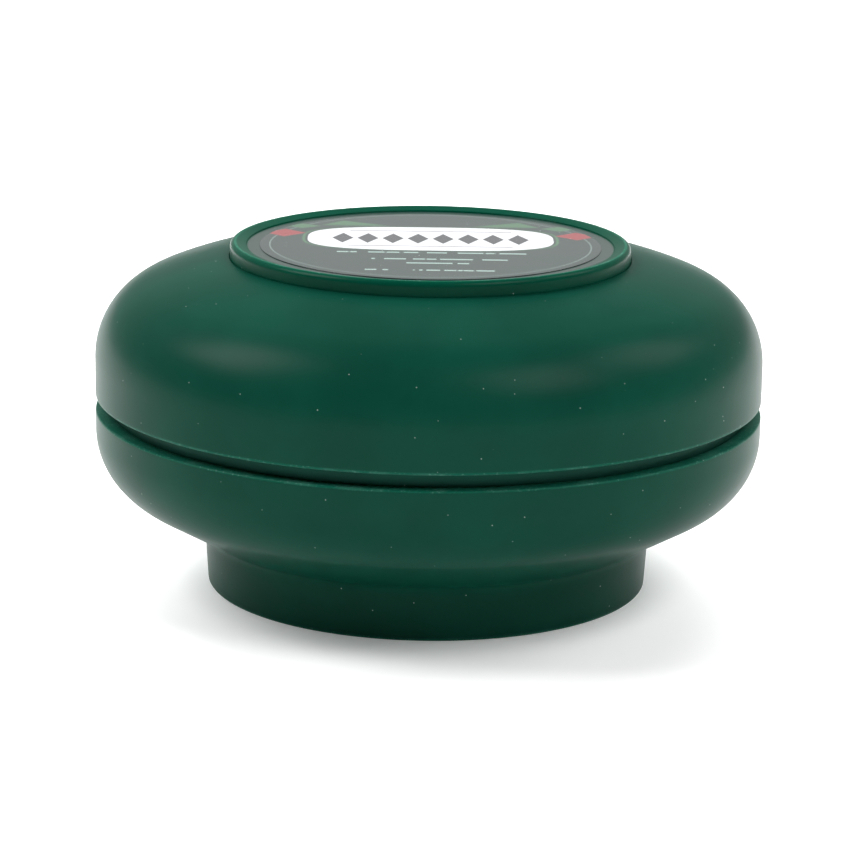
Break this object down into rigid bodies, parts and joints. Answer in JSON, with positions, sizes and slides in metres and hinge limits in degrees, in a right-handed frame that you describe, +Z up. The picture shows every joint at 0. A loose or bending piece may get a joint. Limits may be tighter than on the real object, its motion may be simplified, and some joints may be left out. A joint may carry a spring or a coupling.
{
  "type": "shaving soap jar",
  "caption": "Round double-walled bowl jar of shaving soap: short foot, curved bowl, domed screw lid with a raised ring round a recessed label.",
  "frame": {"origin": "centre of the foot, on the plane that the jar stands on", "axes": "+Z up along the jar's axis, through the lid; +X to the right when the label is read from the front (-Y)"},
  "size_m": [0.106, 0.106, 0.0551],
  "materials": {
    "shell_green": "satin moulded polypropylene",
    "inner_green": "moulded polypropylene",
    "ring_green": "semi-gloss moulded polypropylene",
    "label_film": "glossy printed film",
    "base_paper": "matte printed paper",
    "soap": "poured shaving soap",
    "wad_foam": "foamed sealing wad"
  },
  "bodies": {
    "bowl": {"bowl_shell": "shell_green", "bowl_cup": "inner_green", "soap_puck": "soap", "base_label": "base_paper"},
    "liner": {"lid_liner": "wad_foam"},
    "lid": {"lid_shell": "shell_green", "lid_insert": "inner_green", "label_bezel": "ring_green", "top_label": "label_film"}
  },
  "joints": [
    {"name": "lid_rise", "type": "slide", "parent": "bowl", "child": "liner", "axis": [0, 0, 1], "range_m": [0, 0.0126]},
    {"name": "lid_turn", "type": "hinge", "parent": "liner", "child": "lid", "pos_m": [0, 0, 0.04], "axis": [0, 0, 1], "range_deg": [0, 900]}
  ],
  "couplings": [
    {"joint": "lid_rise", "follows": "lid_turn", "m_per_rad": 0.00079577}
  ]
}
